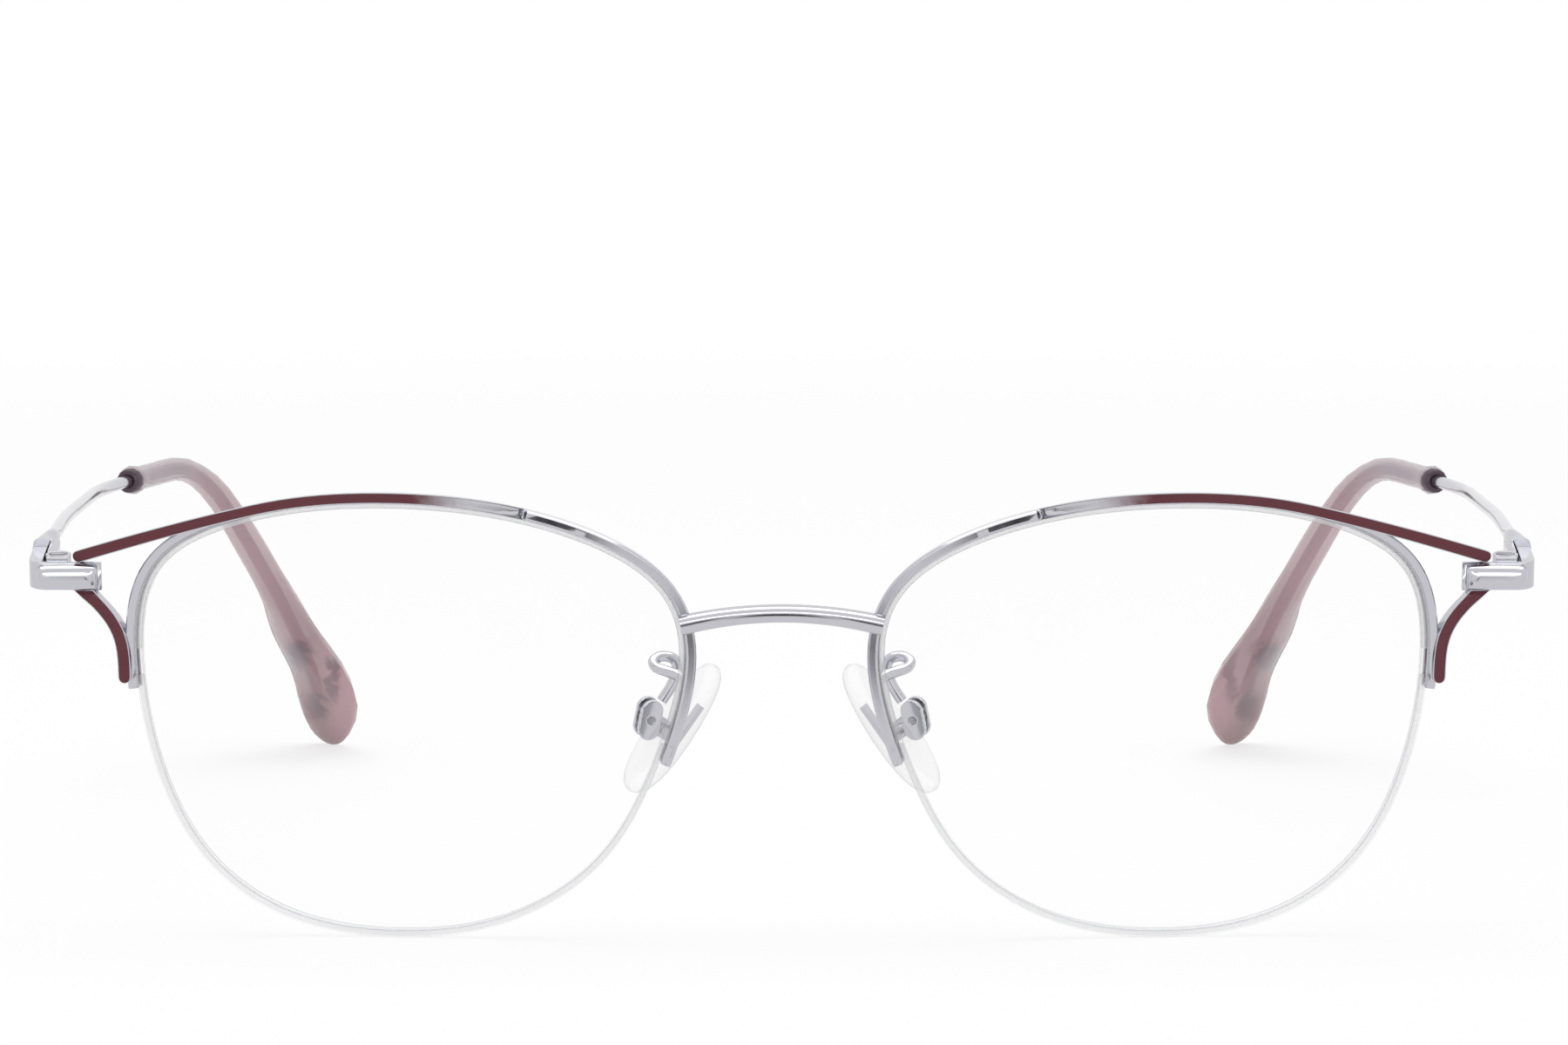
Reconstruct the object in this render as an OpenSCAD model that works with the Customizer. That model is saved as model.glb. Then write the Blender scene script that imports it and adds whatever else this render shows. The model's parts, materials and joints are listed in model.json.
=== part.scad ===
// Half-rim metal glasses with an enamelled brow line and folding temples.
// The glasses stand as on a table, on the lower edge of the lenses and the ends of the
// temple tips. +Z is up, the front faces -Y and the temples run back along +Y.
// Right and left are the wearer's: the right side is at -X. Lengths are in millimetres.

/* [Lenses] */
// Width of one lens
lens_w = 51.6; // [46:0.2:56]
// Height of one lens
lens_h = 42.3; // [38:0.1:46]
// Distance between the two lenses at their nearest points
lens_gap = 19; // [16:0.5:22]
// Thickness of the lens
lens_t = 2; // [1.8:0.1:2.4]
// Radius of the lens's front surface
base_r = 130; // [100:5:200]
// Width of the groove in the lens's edge
groove_w = 0.64; // [0.56:0.02:0.7]
// Depth of the groove in the lens's edge
groove_d = 0.5; // [0.4:0.05:0.6]
// Depth of the groove's middle behind the lens's front surface
groove_mid = 0.8; // [0.7:0.05:1]
// Diameter of the nylon cord under the lens
cord_d = 0.5; // [0.4:0.02:0.54]

/* [Front] */
// Angle by which the top of the front leans forward
tilt = 8; // [4:0.5:12]
// Angle by which each lens wraps back towards its temple
wrap = 4.5; // [2:0.5:7]
// Height of the rim's face
rim_face = 1; // [0.9:0.05:1.3]
// Distance that the rim reaches back behind the lens's front surface
rim_back = 1.4; // [1.3:0.05:2]
// Depth of the channel in the rim
channel_d = 0.4; // [0.3:0.05:0.5]
// Thickness of the brow bar, and of the rim in front of the lens near the nose
bar_t = 0.6; // [0.5:0.05:0.8]
// Height of the brow bar's face over the lens
bar_h = 1.06; // [0.95:0.02:1.2]
// Height of the brow bar's face at its outer end
bar_end_h = 1.2; // [1:0.05:1.4]
// Height of the lug's face
lug_h = 1.2; // [1:0.05:1.4]
// Depth of the channel that holds the enamel
enamel_d = 0.25; // [0.15:0.05:0.35]
// Metal edge left beside the enamel
enamel_lip = 0.09; // [0.06:0.01:0.15]

/* [Bridge] */
// Height of the bridge's section at its middle
bridge_h = 1.6; // [1.3:0.1:2]
// Depth of the bridge's section
bridge_d = 1.7; // [1.4:0.1:2]
// Height of the bridge's ends above the lens centres
bridge_up = 9.8; // [7:0.1:12]
// Rise of the bridge from its ends to its middle
bridge_rise = 1.3; // [0.5:0.1:3]

/* [End pieces and hinges] */
// Distance from the temple edge of the lens out to the hinge screw
hinge_reach = 7.1; // [6.5:0.1:9]
// Distance of the hinge screw behind the front's datum plane
hinge_back = 8.9; // [8.4:0.1:10]
// Height of the hinge's middle above the lens centres
hinge_up = 13.3; // [11:0.1:15]
// Distance that the end piece sits below the hinge
block_drop = 0.4; // [0:0.1:0.8]
// Height of the end piece and of the closed hinge
block_h = 2.6; // [2.3:0.1:3.2]
// Distance that the end piece runs inwards from the screw
block_in = 4.2; // [3.6:0.1:5]
// Distance that the end piece's return runs back from the screw
return_l = 4.1; // [3.6:0.1:5]
// Thickness of the end piece's return
return_t = 1.3; // [1.1:0.1:1.6]
// Radius of the hinge's knuckles
knuckle_r = 1.2; // [1.1:0.05:1.4]
// Diameter of the hinge screw
screw_d = 1; // [0.8:0.05:1.1]
// Diameter of the hinge screw's head
screw_head_d = 1.7; // [1.4:0.05:1.8]

/* [Temples] */
// Distance from the butt of the temple to the start of the bend over the ear
bend_at = 82; // [70:1:95]
// Radius of the bend over the ear
bend_r = 20; // [14:1:28]
// Angle of the ear piece below the horizontal
ear_angle = 47; // [40:1:55]
// Distance that the ear piece comes in towards the head
toe_in = 19.4; // [12:0.1:22]
// Diameter of the temple wire
wire_d = 1.24; // [1:0.02:1.5]
// Distance from the butt to the front of the acetate tip
tip_at = 70; // [60:1:76]
// Diameter of the tip at its front
tip_d = 2.4; // [2.2:0.1:3]
// Width of the paddle at the end of the tip
paddle_w = 9.7; // [7:0.1:11]
// Thickness of the paddle
paddle_t = 3.8; // [3:0.1:4.5]

/* [Nose pads] */
// Length of a nose pad
pad_l = 14.6; // [12:0.5:17]
// Width of a nose pad
pad_w = 8; // [6:0.5:9]
// Thickness of a nose pad
pad_t = 2.3; // [2:0.1:3]
// Lean of the pads towards the bridge, seen from the front
pad_lean = 37; // [20:1:40]
// Opening of the pads towards the face, seen from above
pad_splay = 18; // [12:1:30]
// Diameter of the pad arm's wire
arm_d = 1; // [0.7:0.05:1.1]
// Diameter of the pad screw
pad_screw_d = 0.7; // [0.6:0.05:0.8]

/* [Hidden] */

// Gap between fixed pieces that fit in each other
fit = 0.02;
// Running gap between the hinge's knuckles, and round its screw
hinge_gap = 0.05;
// Gap between the liner or the wire's core and the walls round it
loose_fit = 0.05;
// Sides of a circle that is kept exact
round_n = 48;

// Outline of the lens as the corners of a smooth closed curve, in halves of the lens's width
// and height, from the top towards the temple and round under the lens to the nose
lens_shape = [[0.02, 1.01], [0.43, 0.98], [0.82, 0.83], [0.99, 0.62], [1.015, 0.25],
    [0.95, -0.25], [0.775, -0.705], [0.45, -0.97], [0.04, -1.025], [-0.37, -0.96],
    [-0.735, -0.67], [-0.915, -0.22], [-1.04, 0.26], [-0.985, 0.61], [-0.73, 0.83], [-0.36, 0.97]];
// Places round the outline, counted in corners from the top
nose_corner = 11.12;
notch_corner = 14.81;
leave_corner = 17.3;
temple_corner = 20.3;
// Corners of the outline in which the cord's ends share the rim's channel
tuck_corners = 0.35;
// Cuts through a rim or bar from one corner to the next
cut_count = 8;
step = 1 / cut_count;

// Place of a lens in the front
lens_out = (lens_gap + lens_w) / 2;
lens_back = 0.5;
// Distance from the middle of the front to the hinge screw
hinge_out = lens_gap / 2 + lens_w + hinge_reach;
// Middle of the nylon cord, inwards from the lens's edge
cord_in = groove_d - cord_d / 2 - loose_fit;

function unit(v) = v / norm(v);
function smooth(t) = let (k = max(0, min(1, t))) k * k * (3 - 2 * k);
function mix(a, b, t) = a + (b - a) * t;

// Corner number i of the lens outline
function corner(i) = let (c = lens_shape[(i + 2 * len(lens_shape)) % len(lens_shape)])
    [c[0] * lens_w / 2, c[1] * lens_h / 2];
// Point at place u of the outline, a uniform cubic spline
function edge(u) = let (i = floor(u), t = u - i)
    ((1 - t) ^ 3 * corner(i - 1) + (3 * t ^ 3 - 6 * t ^ 2 + 4) * corner(i)
    + (-3 * t ^ 3 + 3 * t ^ 2 + 3 * t + 1) * corner(i + 1) + t ^ 3 * corner(i + 2)) / 6;
function edge_way(u) = unit(edge(u + 0.01) - edge(u - 0.01));
function left_of(d) = [-d[1], d[0]];
// Depth of the curved front behind its middle
function dome(p) = base_r - sqrt(base_r ^ 2 - p[0] ^ 2 - p[1] ^ 2);

// Point of the curved front, and the way that stands square on it
function on_front(p) = [p[0], dome(p), p[1]];
function forwards(p) = unit(on_front(p) - [0, base_r, 0]);
// Points of a section, each [outwards, forwards], set across a path at point p with way d
function across(p, d, section) = let (out = left_of(d))
    [for (s = section) on_front(p) + s[0] * [out[0], 0, out[1]] + s[1] * forwards(p)];
// The same for a section in the lens's groove, which follows the curve of the lens inwards
function in_groove(u, section) = let (out = left_of(edge_way(u))) [for (s = section)
    let (p = edge(u) + min(s[0], 0) * out)
    on_front(p) + max(s[0], 0) * [out[0], 0, out[1]] + s[1] * forwards(p)];

// Cubic curve from a, leaving along da, to b, arriving along db
function curve(a, da, b, db, t) = (1 - t) ^ 3 * a + 3 * (1 - t) ^ 2 * t * (a + da)
    + 3 * (1 - t) * t ^ 2 * (b - db) + t ^ 3 * b;
function curve_way(a, da, b, db, t) = unit(curve(a, da, b, db, t + 0.005)
    - curve(a, da, b, db, t - 0.005));

// From the lens's own place to the front, and from the front to the table
function lens_to_front(p) = [lens_out + p[0] * cos(wrap) - p[1] * sin(wrap),
    lens_back + p[0] * sin(wrap) + p[1] * cos(wrap), p[2]];
function front_to_table(p) = [p[0], front_y + p[1] * cos(tilt) - p[2] * sin(tilt),
    lift + p[1] * sin(tilt) + p[2] * cos(tilt)];
function front_to_lens(p) = let (x = p[0] - lens_out, y = p[1] - lens_back)
    [x * cos(wrap) + y * sin(wrap), y * cos(wrap) - x * sin(wrap), p[2]];

// The front is lifted until the lenses stand on the table
lift = -min([for (u = [5 : step : 11])
    let (f = lens_to_front(on_front(edge(u))))
    f[1] * sin(tilt) + f[2] * cos(tilt)]);
// The glasses are centred between the brow and the ends of the temple tips
brow_front = min([for (u = [notch_corner : step : leave_corner])
    let (c = edge(u) + bar_h * left_of(edge_way(u)),
        f = lens_to_front(on_front(c) + bar_t * forwards(c)))
    f[1] * cos(tilt) - f[2] * sin(tilt)]);
// Middle of the temple's butt, which closes on the end of the return
butt_out = 1.9;
butt_up = 0.3;
butt = [hinge_out + butt_out, hinge_back + return_l + hinge_gap, hinge_up + butt_up];
butt_y = butt[1] * cos(tilt) - butt[2] * sin(tilt);

/* The temple's path, by the distance s along it from the butt */
// Rise and step inwards of the wire behind the butt, its bow outwards and its fall to the ear
wire_up = 1.1;
wire_in = 0.6;
wire_bow = 0.7;
wire_drop = 2;
// Distance from the butt at which the temple starts to come in
toe_at = 52.8;
// Height of the end of the path over the table, inside the tip's rounded end
tip_low = 0.208;
bend_arc = bend_r * ear_angle * PI / 180;
butt_z = lift + butt[1] * sin(tilt) + butt[2] * cos(tilt);
// Length of the ear piece from the bend until the tip rests on the table
ear_l = (butt_z + wire_up - wire_drop - bend_r * (1 - cos(ear_angle)) - tip_low) / sin(ear_angle);
temple_l = bend_at + bend_arc + ear_l;
function bend_angle(s) = max(0, min(ear_angle, (s - bend_at) / bend_r * 180 / PI));
function path_back(s) = min(s, bend_at) + bend_r * sin(bend_angle(s))
    + max(0, s - bend_at - bend_arc) * cos(ear_angle);
function path_down(s) = wire_drop * smooth(s / bend_at) + bend_r * (1 - cos(bend_angle(s)))
    + max(0, s - bend_at - bend_arc) * sin(ear_angle);
front_y = -(brow_front + butt_y + path_back(temple_l)) / 2;
function path_out(s) = butt[0] - wire_in * smooth(s / 5) + wire_bow * smooth(s / 30)
    - toe_in * smooth((s - toe_at) / (temple_l - toe_at));
function temple_path(s) = [path_out(s), front_y + butt_y + path_back(s),
    butt_z + wire_up * smooth(s / 5) - path_down(s)];
function temple_way(s) = unit(temple_path(s + 0.1) - temple_path(s - 0.1));

// Oval section of the temple at s, with half width a, half height b, a turn about the path and
// a shift to the inside
function temple_ring(s, a, b, turn = 0, shift = 0, n = 12) =
    let (d = temple_way(s), side = unit([-d[1], d[0], 0]), up = cross(d, side))
    [for (i = [0 : n - 1]) let (g = 360 * i / n, x = a * cos(g), y = b * sin(g))
        temple_path(s) + (shift + x * cos(turn) - y * sin(turn)) * side
            + (x * sin(turn) + y * cos(turn)) * up];

// Closed skin over rings with the same number of points, counter-clockwise about the way from
// the first to the last. cap lists the convex faces that close a hollow ring.
module skin(rings, cap = []) {
    n = len(rings[0]);
    m = len(rings);
    ends = len(cap) > 0 ? cap : [[for (j = [0 : n - 1]) j]];
    walls = [for (i = [0 : m - 2], j = [0 : n - 1]) let (k = (j + 1) % n)
        each [[i * n + j, i * n + n + k, i * n + k], [i * n + j, i * n + n + j, i * n + n + k]]];
    last = [for (f = ends) [for (j = [len(f) - 1 : -1 : 0]) (m - 1) * n + f[j]]];
    polyhedron(points = [for (r = rings) each r], faces = concat(ends, walls, last), convexity = 10);
}

module in_front() translate([0, front_y, lift]) rotate([tilt, 0, 0]) children();
module at_lens() in_front() translate([lens_out, lens_back, 0]) rotate([0, 0, wrap]) children();
module left() children();
module right() mirror([1, 0, 0]) children();

chrome = [0.78, 0.78, 0.81];
steel = [0.7, 0.7, 0.72];
clear = [0.93, 0.93, 0.95, 0.5];
burgundy = [0.38, 0.17, 0.2];
mauve = [0.62, 0.48, 0.52];

/* Rim, liner, lens and cord */
// Section of the rim, with its channel towards the lens. f is how far its face stands forward,
// and k squeezes its height at a rounded end.
function rim_section(f, k = 1) = let (m = rim_face / 2, c = 0.2) [for (p = [
    [fit, f - c], [fit + c, f], [rim_face - c, f], [rim_face, f - c], [rim_face, -rim_back],
    [fit, -rim_back], [fit, -groove_mid - groove_w / 2], [channel_d, -groove_mid - groove_w / 2],
    [channel_d, -groove_mid + groove_w / 2], [fit, -groove_mid + groove_w / 2]])
    [m + (p[0] - m) * k, p[1]]];
rim_cap = [[0, 1, 2, 3, 8, 9], [3, 4, 7, 8], [4, 5, 6, 7]];

module rim() color(chrome) at_lens() skin(concat(
    [for (k = [0.3, 0.75, 0.95]) let (u = nose_corner + 0.06 * (1 - sqrt(1 - (1 - k) ^ 2)) - 0.02 * k)
        across(edge(u), edge_way(u), rim_section(bar_t, k))],
    [for (u = [nose_corner + step / 2 : step : notch_corner - step / 2])
        across(edge(u), edge_way(u), rim_section(bar_t))],
    [across(edge(notch_corner - 0.02), edge_way(notch_corner), rim_section(bar_t)),
        across(edge(notch_corner), edge_way(notch_corner), rim_section(0))],
    [for (u = [notch_corner + step / 2 : step : temple_corner])
        across(edge(u), edge_way(u), rim_section(0))]), rim_cap);

module rim_liner() color(clear) at_lens()
    let (h = groove_w / 2 - loose_fit, deep = loose_fit - groove_d, high = channel_d - loose_fit)
    skin([for (u = [nose_corner + tuck_corners : step : temple_corner - tuck_corners])
        in_groove(u, [[deep, -groove_mid - h], [deep, h - groove_mid], [0, h - groove_mid],
            [high, h - groove_mid], [high, -groove_mid - h], [0, -groove_mid - h]])]);

// Outline of the lens, grown by b, as seen from the middle of its curve at a distance of 1
function lens_flat(b) = [for (u = [0 : step : len(lens_shape) - step])
    let (p = edge(u) + b * left_of(edge_way(u))) p / (base_r - dome(p))];
// Shell between two depths behind the lens's front surface
module lens_shell(front, back) translate([0, base_r, 0]) difference() {
    sphere(r = base_r - front, $fn = 240);
    sphere(r = base_r - back, $fn = 240);
}
// Block with the lens's outline, whose sides point to the middle of the lens's curve
module lens_block(b) let (far = base_r - lens_w / 4, near = base_r + 1)
    translate([0, base_r - far, 0]) rotate([90, 0, 0])
    linear_extrude(near - far, scale = near / far) polygon(far * lens_flat(b));
module lens() color(clear) at_lens() difference() {
    intersection() {
        lens_block(0);
        lens_shell(0, lens_t);
    }
    difference() {
        intersection() {
            lens_block(groove_d);
            lens_shell(groove_mid - groove_w / 2, groove_mid + groove_w / 2);
        }
        lens_block(-groove_d);
    }
}

module nylon_cord() color(clear) at_lens() skin([
    for (u = [temple_corner - len(lens_shape) - tuck_corners / 2 : step : nose_corner + tuck_corners / 2])
    in_groove(u, [for (g = [337.5 : -45 : 22.5])
        [cord_d / 2 * cos(g) - cord_in, cord_d / 2 * sin(g) - groove_mid]])]);

/* Brow bar and lug, with their enamel */
// Middle of the bar's face, outwards from the lens's edge
bar_mid = bar_h / 2 + fit;
block_low = hinge_up - block_drop - block_h / 2;
knuckle_low = hinge_up - block_h / 2;
// Where the brow bar and the lug meet the end piece, inwards and forwards of the hinge screw
meet_in = 2.1;
meet_front = 1.6;
block_mid = front_to_lens([hinge_out - meet_in, hinge_back - meet_front, 0])[0];
bar_end = [block_mid + 0.4, block_low + block_h + 0.36];
lug_top = [block_mid - 0.3, block_low + 0.2];
lug_end = edge(temple_corner - 0.12) + (rim_face + 0.05) * left_of(edge_way(temple_corner - 0.12));
bar_start = edge(leave_corner) + bar_mid * left_of(edge_way(leave_corner));
bar_reach = norm(bar_end - bar_start) / 3;
lug_reach = norm(lug_end - lug_top) * 0.42;

// Section of a bar with an enamel channel e deep. b is its height and r how far its back reaches.
function bar_section(b, r, e, k = 1) = [for (p = [[-b / 2, -r], [b / 2, -r], [b / 2, bar_t],
    [b / 2 - enamel_lip, bar_t], [b / 2 - enamel_lip, bar_t - e], [enamel_lip - b / 2, bar_t - e],
    [enamel_lip - b / 2, bar_t], [-b / 2, bar_t]]) [p[0] * k, p[1]]];
bar_cap = [[0, 1, 4, 5], [1, 2, 3, 4], [0, 5, 6, 7]];
function enamel_section(b, k = 1, gap = fit) = let (h = b / 2 - enamel_lip - max(fit, gap / 4)) [
    [-h * k, bar_t - enamel_d + gap], [h * k, bar_t - enamel_d + gap], [h * k, bar_t],
    [0, bar_t + 0.05], [-h * k, bar_t]];

// Cuts through the free parts of the bar and the lug
bar_cuts = 20;
lug_cuts = 14;
function on_bar(t) = curve(bar_start, bar_reach * edge_way(leave_corner), bar_end,
    bar_reach * [cos(20), -sin(20)], t);
function bar_way(t) = curve_way(bar_start, bar_reach * edge_way(leave_corner), bar_end,
    bar_reach * [cos(20), -sin(20)], t);
function bar_height(t) = mix(bar_h, bar_end_h, smooth(t));
lug_leave = 1.25 * lug_reach * [-0.8, -0.6];
// Stretch of the lug's section where it is cut level under the end piece
lug_miter = norm(lug_leave) / -lug_leave[1];
lug_low = block_low - 3 * fit;
// The lug's walls twist where it is cut level, and its enamel stays clear of them
lug_gap = 6 * fit;
function lug_level(z) = [lug_top[0] + (z - lug_top[1]) * lug_leave[0] / lug_leave[1], z];
function on_lug(t) = curve(lug_top, lug_leave, lug_end, lug_reach * [0, -1], t);
function lug_way(t) = curve_way(lug_top, lug_leave, lug_end, lug_reach * [0, -1], t);

// Depth of the foot that joins the bar, and the lug, to what is behind it
bar_foot = 0.6;
lug_foot = 0.9;
// Rounded end of a bar: shares of its height, and how far each cut lies before the end
round_end = [[0.97, 0.75], [0.87, 0.45], [0.66, 0.2], [0.3, 0.03]];

module brow_bar() color(chrome) at_lens() skin(concat(
    [for (e = [0.02, enamel_d]) let (u = notch_corner + 0.01 + (e > 0.1 ? 0.03 : 0))
        across(edge(u) + bar_mid * left_of(edge_way(u)), edge_way(u), bar_section(bar_h, 0, e))],
    [for (u = [notch_corner + step : step : leave_corner - step / 2])
        across(edge(u) + bar_mid * left_of(edge_way(u)), edge_way(u),
            bar_section(bar_h, 0, enamel_d))],
    [for (t = [0 : 1 / bar_cuts : 0.96]) across(on_bar(t), bar_way(t),
        bar_section(bar_height(t), bar_foot * smooth(t * 1.5 - 0.5), enamel_d))],
    [for (r = round_end) let (t = 1 - r[1] * bar_end_h / 2 / (3 * bar_reach))
        across(on_bar(t), bar_way(t), bar_section(bar_end_h, bar_foot, enamel_d, r[0]))]), bar_cap);

module brow_enamel() color(burgundy) at_lens() skin(concat(
    [for (u = [notch_corner + 0.06 : step : leave_corner - step / 2])
        across(edge(u) + bar_mid * left_of(edge_way(u)), edge_way(u), enamel_section(bar_h))],
    [for (t = [0 : 1 / bar_cuts : 0.96]) across(on_bar(t), bar_way(t), enamel_section(bar_height(t)))],
    [for (r = round_end) let (t = 1 - r[1] * bar_end_h / 2 / (3 * bar_reach))
        across(on_bar(t), bar_way(t), enamel_section(bar_end_h, r[0]))]));

module lug() color(chrome) at_lens() skin(concat(
    [for (z = [lug_top[1], lug_low])
        across(lug_level(z), [0, -1], bar_section(lug_h, 0.2, enamel_d, lug_miter))],
    [for (t = [2 / lug_cuts : 1 / lug_cuts : 0.94]) across(on_lug(t), lug_way(t),
        bar_section(lug_h, mix(0.2, lug_foot, smooth(t)), enamel_d))],
    [for (r = round_end) let (t = 1 - r[1] * lug_h / 2 / (2.6 * lug_reach))
        across(on_lug(t), lug_way(t), bar_section(lug_h, lug_foot, enamel_d, r[0]))]), bar_cap);

module lug_enamel() color(burgundy) at_lens() skin(concat(
    [across(lug_level(lug_low), [0, -1], enamel_section(lug_h, lug_miter, lug_gap))],
    [for (t = [2 / lug_cuts : 1 / lug_cuts : 0.94]) across(on_lug(t), lug_way(t),
        enamel_section(lug_h, 1, lug_gap))],
    [for (r = round_end) let (t = 1 - r[1] * lug_h / 2 / (2.6 * lug_reach))
        across(on_lug(t), lug_way(t), enamel_section(lug_h, r[0], lug_gap))]));

/* Bridge */
bridge_sink = 0.1;
bridge_bow = 0.5;
bridge_end = lens_out - lens_w / 2 - bridge_sink;
// Depth of the rim's face at the bridge
rim_face_back = lens_to_front([-lens_w / 2, dome([lens_w / 2, bridge_up]) - bar_t, 0])[1];
module bridge() color(chrome) in_front() skin([for (i = [-12 : 12]) let (s = i / 12,
    c = [bridge_end * s, rim_face_back - bridge_sink - bridge_bow * (1 - s * s),
        bridge_up + bridge_rise * (1 - s * s)],
    h = bridge_h / 2 + 0.1 * s * s, lean = -2 * bridge_rise * s / bridge_end,
    way = unit([1, 0, lean]), up = [-way[2], 0, way[0]])
    [for (g = [0 : 30 : 330]) let (a = cos(g), b = sin(g), r = 1 / (abs(a) ^ 3 + abs(b) ^ 3) ^ (1 / 3))
        c + [0, bridge_d / 2 * r * a, 0] + h * r * b * up]]);

/* End piece and hinge */
// Front, back and sides of the end piece
block_t = 0.75;
knuckle_room = 0.2;
plate_back = hinge_back - knuckle_r - knuckle_room;
plate_front = plate_back - block_t;
return_in = hinge_out + knuckle_r + knuckle_room + hinge_gap;
return_out = return_in + return_t;
block_corner = 2;
module end_piece() color(chrome) in_front() {
    translate([0, 0, block_low]) linear_extrude(block_h) difference() {
        union() {
            translate([hinge_out - block_in, plate_front])
                square([return_out - block_corner - hinge_out + block_in, plate_back - plate_front]);
            translate([return_in, plate_front + block_corner])
                square([return_t, hinge_back + return_l - plate_front - block_corner]);
            translate([return_out - block_corner, plate_front + block_corner])
                circle(r = block_corner, $fn = round_n);
        }
        translate([hinge_out - block_in - 1, plate_back])
            square([return_in - hinge_out + block_in + 1, return_l + 3]);
    }
    pillow();
}
// Raised front of the end piece. Its rings are [height over the plate, inset] as shares of its
// height, and its corners are round on the temple side and sharper on the nose side.
pillow_l = 5.8;
pillow_h = 0.7;
pillow_edge = 0.06;
outer_round = 0.95;
inner_round = 0.4;
flange_l = 0.35;
pillow_rings = [[-0.7, 0], [0.3, 0], [0.6, 0.11], [0.8, 0.3], [0.94, 0.6], [1, 1]];
module pillow()
    translate([hinge_out - block_in + flange_l + pillow_l / 2, plate_front, block_low + block_h / 2])
    skin([for (p = pillow_h * pillow_rings)
        let (hx = pillow_l / 2 - p[1], hz = block_h / 2 - pillow_edge - p[1])
        [for (g = [0 : 15 : 345])
            let (a = cos(g), b = sin(g),
                r = max((a > 0 ? outer_round : inner_round) - p[1], 2 * pillow_edge))
            [(hx - r) * sign(a) * min(1, abs(a) * 3) + r * a, -p[0],
                (hz - r) * sign(b) * min(1, abs(b) * 3) + r * b]]]);

knuckle_h = (block_h - 2 * hinge_gap) / 3;
// Solid knuckle with its web forwards, between two heights
module front_knuckle(low) {
    translate([hinge_out, hinge_back, low]) cylinder(r = knuckle_r, h = knuckle_h, $fn = round_n);
    translate([hinge_out - 1, plate_back, low]) cube([2, hinge_back - plate_back, knuckle_h]);
}
module screw_hole(gap) translate([hinge_out, hinge_back, knuckle_low - 1])
    cylinder(d = screw_d + 2 * gap, h = block_h + 2, $fn = round_n);
// Head of the hinge screw, and its slot
screw_head_h = 0.35;
slot_w = 0.24;
slot_d = 0.17;
module hinge_front() color(chrome) in_front() difference() {
    union() {
        front_knuckle(knuckle_low);
        front_knuckle(knuckle_low + block_h - knuckle_h);
    }
    screw_hole(0);
    translate([hinge_out, hinge_back, knuckle_low + block_h - screw_head_h])
        cylinder(d = screw_head_d + 2 * fit, h = 1, $fn = round_n);
}
module hinge_screw() color(steel) in_front() translate([hinge_out, hinge_back, 0]) difference() {
    union() {
        translate([0, 0, knuckle_low + hinge_gap])
            cylinder(d = screw_d, h = block_h - hinge_gap - screw_head_h, $fn = round_n);
        translate([0, 0, knuckle_low + block_h - screw_head_h])
            cylinder(d = screw_head_d, h = screw_head_h - hinge_gap, $fn = round_n);
    }
    translate([-screw_head_d, -slot_w / 2, knuckle_low + block_h - hinge_gap - slot_d])
        cube([2 * screw_head_d, slot_w, block_h]);
}

// Leaf of the temple's hinge half, which runs back inside the return to the butt block
leaf_in = 0.4;
leaf_web = 0.6;
leaf_lap = 1.4;
module hinge_temple() color(chrome) in_front() difference() {
    union() {
        translate([hinge_out, hinge_back, knuckle_low + knuckle_h + hinge_gap])
            cylinder(r = knuckle_r, h = knuckle_h, $fn = round_n);
        translate([hinge_out - leaf_web, hinge_back, knuckle_low + knuckle_h + hinge_gap])
            cube([leaf_web + knuckle_r, knuckle_r + leaf_web, knuckle_h]);
        translate([hinge_out + leaf_in, hinge_back + knuckle_r + leaf_in, knuckle_low + knuckle_room])
            cube([knuckle_r - leaf_in, return_l - knuckle_r + leaf_lap, block_h - 2 * knuckle_room]);
    }
    screw_hole(hinge_gap);
}

/* Temple and tip */
butt_half_w = 0.9;
butt_half_h = 1.4;
core_short = 9;
core_end = temple_l - core_short;
// Half width and half height of the temple's metal at s
function metal_half(s) = let (k = smooth(s / 6))
    [mix(butt_half_w, wire_d / 2, k), mix(butt_half_h, wire_d / 2, k)];
// Square-shouldered section at the butt, which faces the return
butt_ring = [for (i = [0 : 11]) let (g = 30 * i, a = cos(g), b = sin(g),
    r = 1 / (abs(a) ^ 5 + abs(b) ^ 5) ^ (1 / 5))
    front_to_table(butt + [-butt_half_w * r * a, 0, butt_half_h * r * b])];
module temple() color(chrome) skin(concat([butt_ring],
    [for (s = [1, 2, 3, 4, 5, 6]) let (h = metal_half(s), k = 1 + 0.12 * (1 - s / 6))
        temple_ring(s, h[0] * k, h[1] * k)],
    [for (s = [10 : 6 : bend_at - 6]) temple_ring(s, wire_d / 2, wire_d / 2)],
    [for (s = [bend_at - 3 : 3 : core_end]) temple_ring(s, wire_d / 2, wire_d / 2)]));

// Half width and half height of the acetate behind the ear
ear_half = [1.6, 2.1];
// Chamfer at the front of the tip
tip_edge = 0.15;
// Length in which the tip widens to the paddle, and length of the paddle's rounded end
widen_l = 17.4;
round_l = 14.6;
// Length over which the acetate grows behind the bend, and turns its flat side to the head
grow_l = 28;
turn_l = 40;
tip_turn = 57;
// Shift of the paddle's widest part towards the head, and where it is
paddle_shift = 1.3;
bulge_at = 21.3;
bulge_l = 14.2;
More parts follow.
